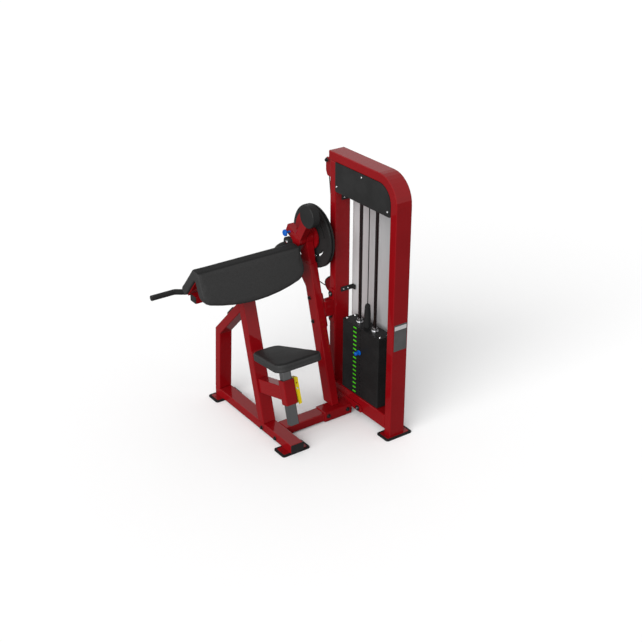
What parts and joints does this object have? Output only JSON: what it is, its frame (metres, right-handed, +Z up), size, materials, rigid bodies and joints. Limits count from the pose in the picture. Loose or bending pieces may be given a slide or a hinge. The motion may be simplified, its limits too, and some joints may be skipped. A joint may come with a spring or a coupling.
{
  "type": "biceps triceps machine",
  "caption": "Seated arm machine: V-shaped arm pad, cambered handle bar on a cam with a counterweight, sliding seat, and a cable-driven weight stack in a tower frame.",
  "frame": {"origin": "on the floor, under the middle of the whole machine's length and width", "axes": "+X from the seat towards the weight tower, +Y the way the user faces, +Z up"},
  "size_m": [1.106, 0.996, 1.5],
  "materials": {
    "red_paint": "glossy deep red powder coat",
    "black_paint": "satin black paint",
    "black_rubber": "matt black rubber",
    "black_plastic": "satin black plastic",
    "chrome": "polished chrome",
    "bright_steel": "zinc plated steel",
    "black_iron": "semi-gloss black painted plates",
    "cable_jacket": "black nylon jacket over a steel rope",
    "grey_shroud": "silver grey sheet metal",
    "blue_plastic": "blue plastic knobs on steel pins",
    "yellow_plastic": "yellow plastic lever",
    "black_vinyl": "matt black upholstery vinyl"
  },
  "bodies": {
    "frame": {"tower_hoop": "red_paint", "far_upright": "red_paint", "tower_base_beam": "red_paint", "near_tower_foot_pad": "black_rubber", "far_tower_foot_pad": "black_rubber", "near_rail_foot_pad": "black_rubber", "far_rail_foot_pad": "black_rubber", "cover_panel": "black_plastic", "rear_shroud": "grey_shroud", "lower_shroud_tab": "black_paint", "upper_shroud_tab": "black_paint", "rod_top_bar": "red_paint", "near_guide_rod": "chrome", "far_guide_rod": "chrome", "near_stack_bumper": "black_rubber", "far_stack_bumper": "black_rubber", "resting_weight_plates": "black_iron", "stack_pulley_bracket": "black_paint", "upper_pulley_bracket": "red_paint", "lower_pulley_bracket": "red_paint", "guide_pulley_bracket": "black_paint", "cable_run": "cable_jacket", "cable_stack_stretch": "cable_jacket", "bearing_housing": "red_paint", "arm_post": "red_paint", "connecting_block": "red_paint", "base_rail": "red_paint", "rail_end_cap": "black_plastic", "cross_beam": "red_paint", "cross_beam_sleeve": "red_paint", "pad_post": "red_paint", "front_leg": "red_paint", "leg_bumper": "black_rubber", "pad_frame": "red_paint", "pad_frame_plug": "black_plastic", "arm_pad": "black_vinyl", "seat_arm": "red_paint", "seat_liner": "black_plastic"},
    "stack": {"head_plate": "black_iron", "near_rod_collar": "black_plastic", "far_rod_collar": "black_plastic", "lifted_weight_plates": "black_iron", "selector_stem": "chrome", "cable_boot": "black_rubber"},
    "selector": {"selector_pin": "blue_plastic"},
    "cam": {"cam_wheel": "black_plastic", "cam_cable": "cable_jacket", "index_plate": "red_paint", "pivot_shaft": "bright_steel"},
    "arm": {"movement_arm": "red_paint", "counterweight": "black_paint", "handle_bar": "black_paint"},
    "pop_pin": {"pop_pin": "blue_plastic"},
    "stack_pulley": {"stack_pulley": "black_plastic"},
    "upper_pulley": {"upper_pulley": "black_plastic"},
    "lower_pulley": {"lower_pulley": "black_plastic"},
    "guide_pulley": {"guide_pulley": "black_plastic"},
    "seat": {"seat_post": "chrome", "seat_cushion": "black_vinyl"},
    "lever": {"seat_lever": "yellow_plastic"}
  },
  "joints": [
    {"name": "stack_lift", "type": "slide", "parent": "frame", "child": "stack", "axis": [0, 0, 1], "range_m": [0, 0.245], "deforming": ["cable_stack_stretch"]},
    {"name": "selector_pull", "type": "slide", "parent": "stack", "child": "selector", "axis": [-1, 0, 0], "range_m": [0, 0.062]},
    {"name": "cam_turn", "type": "hinge", "parent": "frame", "child": "cam", "pos_m": [0.356, 0.172, 1], "axis": [1, 0, 0], "range_deg": [0, 86]},
    {"name": "arm_adjust", "type": "hinge", "parent": "cam", "child": "arm", "pos_m": [0.356, 0.172, 1], "axis": [1, 0, 0], "range_deg": [0, 40]},
    {"name": "pop_pin_pull", "type": "slide", "parent": "arm", "child": "pop_pin", "axis": [-1, 0, 0], "range_m": [0, 0.012], "stiffness_N_per_m": 900},
    {"name": "stack_pulley_spin", "type": "hinge", "parent": "frame", "child": "stack_pulley", "pos_m": [0.457, -0.1585, 1.39], "axis": [1, 0, 0], "range_deg": [-400, 10]},
    {"name": "upper_pulley_spin", "type": "hinge", "parent": "frame", "child": "upper_pulley", "pos_m": [0.457, 0.1393, 1.39], "axis": [1, 0, 0], "range_deg": [-400, 10]},
    {"name": "lower_pulley_spin", "type": "hinge", "parent": "frame", "child": "lower_pulley", "pos_m": [0.457, 0.141, 0.697], "axis": [0.8889, 0.4581, 0], "range_deg": [-10, 400]},
    {"name": "guide_pulley_spin", "type": "hinge", "parent": "frame", "child": "guide_pulley", "pos_m": [0.37249, 0.305, 0.77493], "axis": [0.8889, 0.4581, 0], "range_deg": [-10, 400]},
    {"name": "seat_height", "type": "slide", "parent": "frame", "child": "seat", "axis": [0, 0.2588, 0.9659], "range_m": [-0.08, 0.1]},
    {"name": "seat_release", "type": "hinge", "parent": "frame", "child": "lever", "pos_m": [-0.037, -0.21316, 0.38171], "axis": [0, 0.9659, -0.2588], "range_deg": [0, 5], "stiffness_Nm_per_rad": 4}
  ],
  "couplings": [
    {"joint": "cam_turn", "follows": "stack_lift", "rad_per_m": 6.0606},
    {"joint": "stack_pulley_spin", "follows": "stack_lift", "rad_per_m": -27.778},
    {"joint": "upper_pulley_spin", "follows": "stack_lift", "rad_per_m": -27.778},
    {"joint": "lower_pulley_spin", "follows": "stack_lift", "rad_per_m": 27.778},
    {"joint": "guide_pulley_spin", "follows": "stack_lift", "rad_per_m": 27.778}
  ]
}
